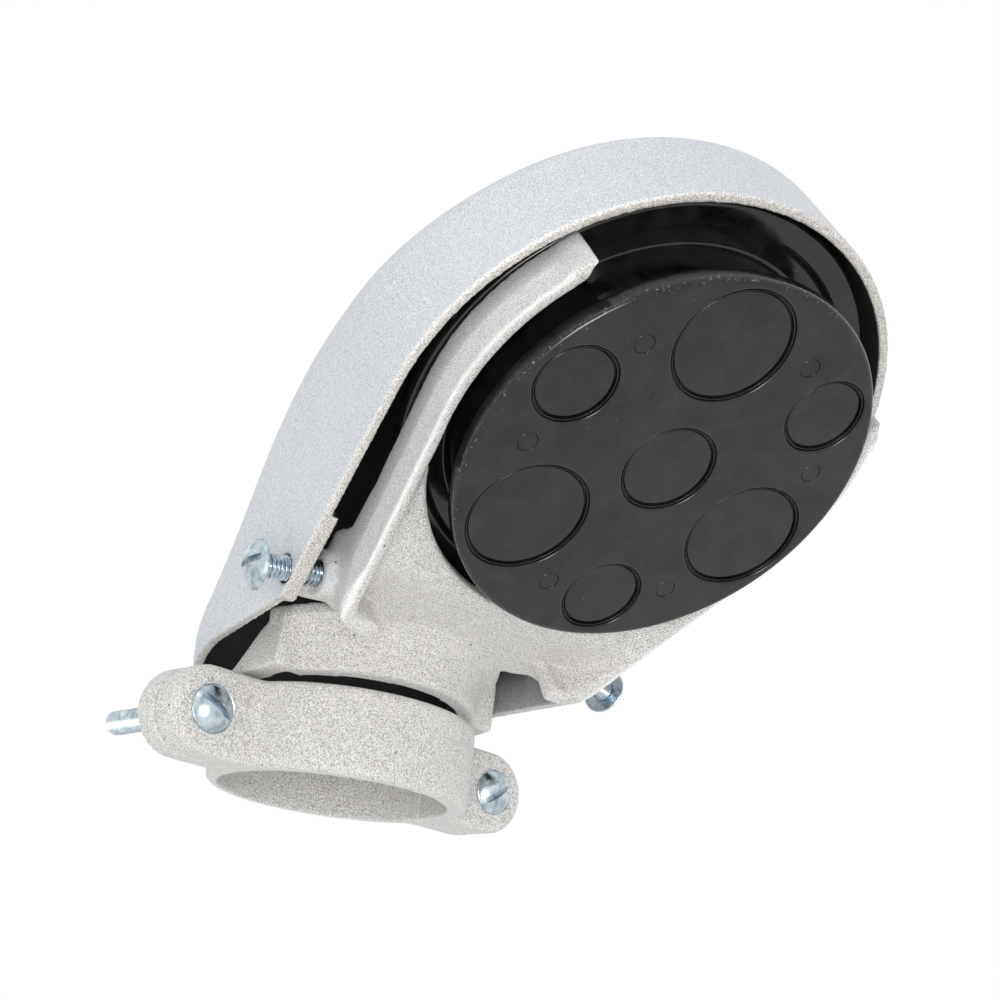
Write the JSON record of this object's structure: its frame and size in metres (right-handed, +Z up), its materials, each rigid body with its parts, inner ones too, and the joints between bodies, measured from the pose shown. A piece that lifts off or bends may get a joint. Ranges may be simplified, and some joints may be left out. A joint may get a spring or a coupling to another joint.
{
  "type": "service entrance weatherhead",
  "caption": "Clamp-on service entrance weatherhead: cast hood and yoke, round knockout insulator facing down and forward, and a split clamp for rigid conduit.",
  "frame": {"origin": "centre of the conduit clamp's bore at its bottom face", "axes": "+Z up along the conduit, -Y towards the wire side (the front), +X to the right seen from the front"},
  "size_m": [0.1692, 0.2327, 0.1797],
  "materials": {
    "cast_body": "as cast, blasted, fine grain",
    "cast_hood": "as cast, tumbled",
    "moulding": "semi-gloss black",
    "zinc_screw": "bright zinc plate"
  },
  "bodies": {
    "casting": {"body": "cast_body", "hood": "cast_hood"},
    "strap": {"clamp_strap": "cast_body"},
    "left_clamp_screw": {"clamp_screw_left": "zinc_screw"},
    "right_clamp_screw": {"clamp_screw_right": "zinc_screw"},
    "knockout_plate": {"insulator": "moulding"},
    "left_hood_screw": {"hood_screw_left": "zinc_screw"},
    "right_hood_screw": {"hood_screw_right": "zinc_screw"}
  },
  "joints": [
    {"name": "strap_slide", "type": "slide", "parent": "casting", "child": "strap", "axis": [0, -1, 0], "range_m": [0, 0.006]},
    {"name": "clamp_screw_left_turn", "type": "hinge", "parent": "strap", "child": "left_clamp_screw", "pos_m": [-0.0598, -0.0138, 0.014], "axis": [0, -1, 0], "range_deg": [0, 1531]},
    {"name": "clamp_screw_right_turn", "type": "hinge", "parent": "strap", "child": "right_clamp_screw", "pos_m": [0.0598, -0.0138, 0.014], "axis": [0, -1, 0], "range_deg": [0, 1531]},
    {"name": "insulator_turn", "type": "hinge", "parent": "casting", "child": "knockout_plate", "pos_m": [0, -0.1385, 0.0893], "axis": [0, -0.6115, -0.7912], "continuous": true},
    {"name": "hood_screw_left_turn", "type": "hinge", "parent": "casting", "child": "left_hood_screw", "pos_m": [-0.07468, -0.04734, 0.05095], "axis": [-0.9755, 0.1741, -0.1346], "range_deg": [-2140, 2160]},
    {"name": "hood_screw_right_turn", "type": "hinge", "parent": "casting", "child": "right_hood_screw", "pos_m": [0.07468, -0.04734, 0.05095], "axis": [0.9755, 0.1741, -0.1346], "range_deg": [-2140, 2160]}
  ],
  "couplings": [
    {"joint": "clamp_screw_left_turn", "follows": "strap_slide", "rad_per_m": 4452.7},
    {"joint": "clamp_screw_right_turn", "follows": "strap_slide", "rad_per_m": 4452.7}
  ]
}
